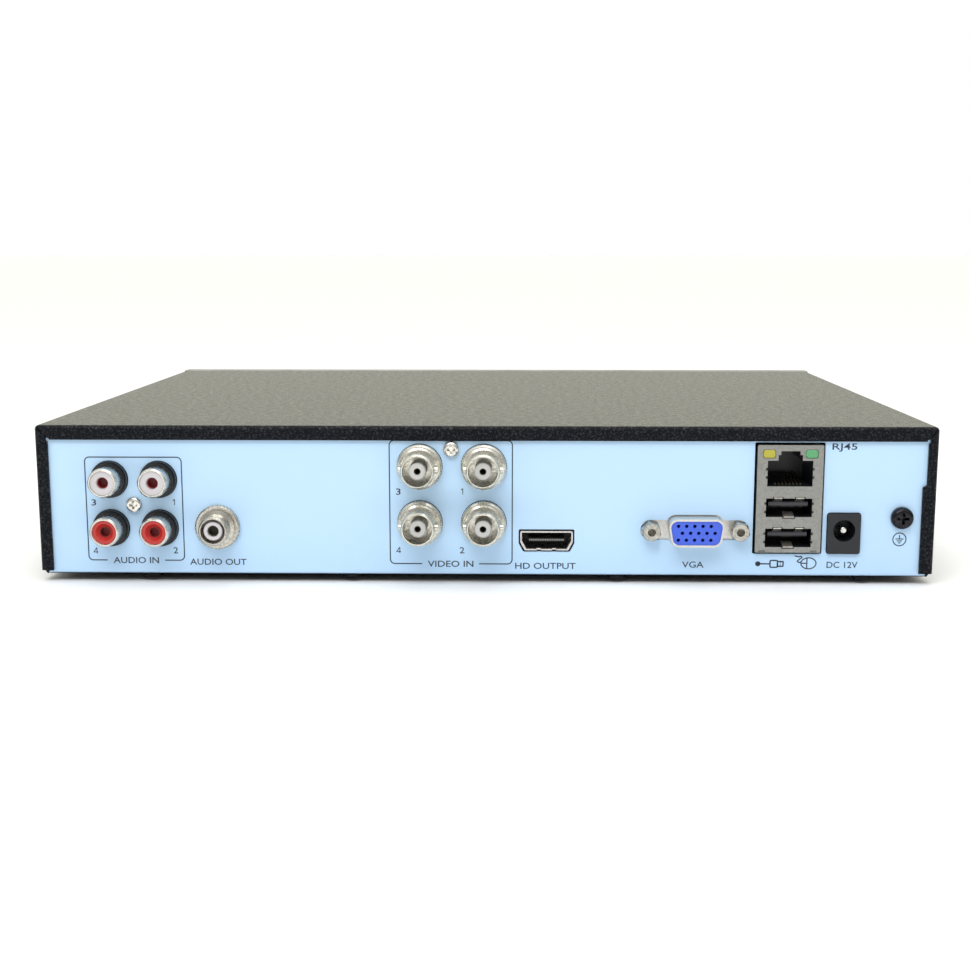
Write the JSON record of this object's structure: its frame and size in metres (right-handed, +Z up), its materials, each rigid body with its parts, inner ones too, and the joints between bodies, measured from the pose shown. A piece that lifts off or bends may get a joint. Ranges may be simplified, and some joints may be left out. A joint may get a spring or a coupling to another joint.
{
  "type": "video recorder",
  "caption": "Small security video recorder with a folded-steel case, a rear socket panel for coaxial video, phono audio, display, network and power, and a hard drive inside.",
  "frame": {"origin": "on the surface it stands on, under the middle of the whole part, sockets included", "axes": "+Z up; the front faces -Y and the socket panel faces +Y; +X is on the left as the socket panel is read from behind"},
  "size_m": [0.259, 0.2224, 0.0452],
  "materials": {
    "case_black": "wrinkled black powder coat",
    "panel_blue": "smooth pale blue paint, satin",
    "bezel_black": "fine spark-eroded grain",
    "window_smoke": "polished smoke-tinted",
    "lens_clear": "clear, polished ends",
    "board_green": "solder mask over glass laminate",
    "lamp_white": "moulded",
    "receiver_dark": "infrared-clear epoxy",
    "foot_rubber": "matt",
    "screw_black": "black oxide",
    "rivet_black": "black oxide",
    "brass_plain": "turned",
    "screw_zinc": "bright zinc",
    "sink_aluminium": "clear anodised",
    "chip_black": "moulded epoxy",
    "can_aluminium": "bright can",
    "ferrite_grey": "pressed ferrite",
    "holder_black": "moulded",
    "cell_steel": "nickel-plated",
    "header_cream": "moulded nylon",
    "plug_black": "moulded",
    "lead_jacket": "soft vinyl",
    "socket_black": "moulded",
    "barrel_nickel": "bright nickel",
    "insert_white": "moulded",
    "insert_red": "moulded",
    "insulator_grey": "moulded",
    "contact_gold": "gold flash",
    "shell_tin": "satin tin plate",
    "vga_blue": "moulded",
    "lamp_yellow": "diffused lens",
    "lamp_green": "diffused lens",
    "tongue_black": "moulded",
    "drive_cast": "die-cast, black wash",
    "drive_lid_steel": "brushed",
    "platter_mirror": "polished",
    "arm_aluminium": "milled"
  },
  "bodies": {
    "case": {"base_tray": "case_black", "rear_panel": "panel_blue", "front_bezel": "bezel_black", "front_window": "window_smoke", "light_pipes": "lens_clear", "front_board": "board_green", "front_lamps": "lamp_white", "remote_receiver": "receiver_dark", "rubber_feet": "foot_rubber", "cover_screws": "screw_black", "panel_rivets": "rivet_black", "board_standoffs": "brass_plain", "board_screws": "screw_zinc", "main_board": "board_green", "heat_sink": "sink_aluminium", "board_chips": "chip_black", "capacitors": "can_aluminium", "inductors": "ferrite_grey", "cell_holder": "holder_black", "coin_cell": "cell_steel", "buzzer": "holder_black", "board_headers": "header_cream", "lead_plugs": "plug_black", "drive_leads": "lead_jacket", "front_lead": "lead_jacket", "audio_in_housing": "socket_black", "audio_in_barrels": "barrel_nickel", "audio_in_white_inserts": "insert_white", "audio_in_red_inserts": "insert_red", "audio_out_housing": "socket_black", "audio_out_barrel": "barrel_nickel", "audio_out_insert": "insert_white", "video_in_housing": "socket_black", "video_in_barrels": "barrel_nickel", "video_in_insulators": "insulator_grey", "video_in_contacts": "contact_gold", "socket_screws": "screw_zinc", "hd_socket_shell": "shell_tin", "hd_socket_tongue": "socket_black", "vga_flange": "shell_tin", "vga_insert": "vga_blue", "vga_jackscrews": "barrel_nickel", "port_cage": "shell_tin", "port_core": "socket_black", "lan_contacts": "contact_gold", "lan_lamp_yellow": "lamp_yellow", "lan_lamp_green": "lamp_green", "usb_tongues": "tongue_black", "power_jack": "socket_black", "power_jack_pin": "barrel_nickel", "ground_nut": "brass_plain", "drive_casting": "drive_cast", "drive_lid": "drive_lid_steel", "drive_board": "board_green", "drive_spacers": "foot_rubber", "drive_screws": "screw_zinc"},
    "cover": {"top_cover": "case_black"},
    "terminal_screw": {"ground_screw": "screw_black"},
    "disc_stack": {"drive_platters": "platter_mirror"},
    "actuator": {"head_arm": "arm_aluminium"}
  },
  "joints": [
    {"name": "cover_lift", "type": "slide", "parent": "case", "child": "cover", "axis": [0, 0, 1], "range_m": [0, 0.09]},
    {"name": "terminal_unscrew", "type": "slide", "parent": "case", "child": "terminal_screw", "axis": [0, 1, 0], "range_m": [0, 0.006]},
    {"name": "disc_spin", "type": "hinge", "parent": "case", "child": "disc_stack", "pos_m": [-0.0661, -0.04065, 0.011], "axis": [0, 0, 1], "continuous": true},
    {"name": "head_swing", "type": "hinge", "parent": "case", "child": "actuator", "pos_m": [-0.0097, -0.04865, 0.011], "axis": [0, 0, -1], "range_deg": [0, 34]}
  ]
}
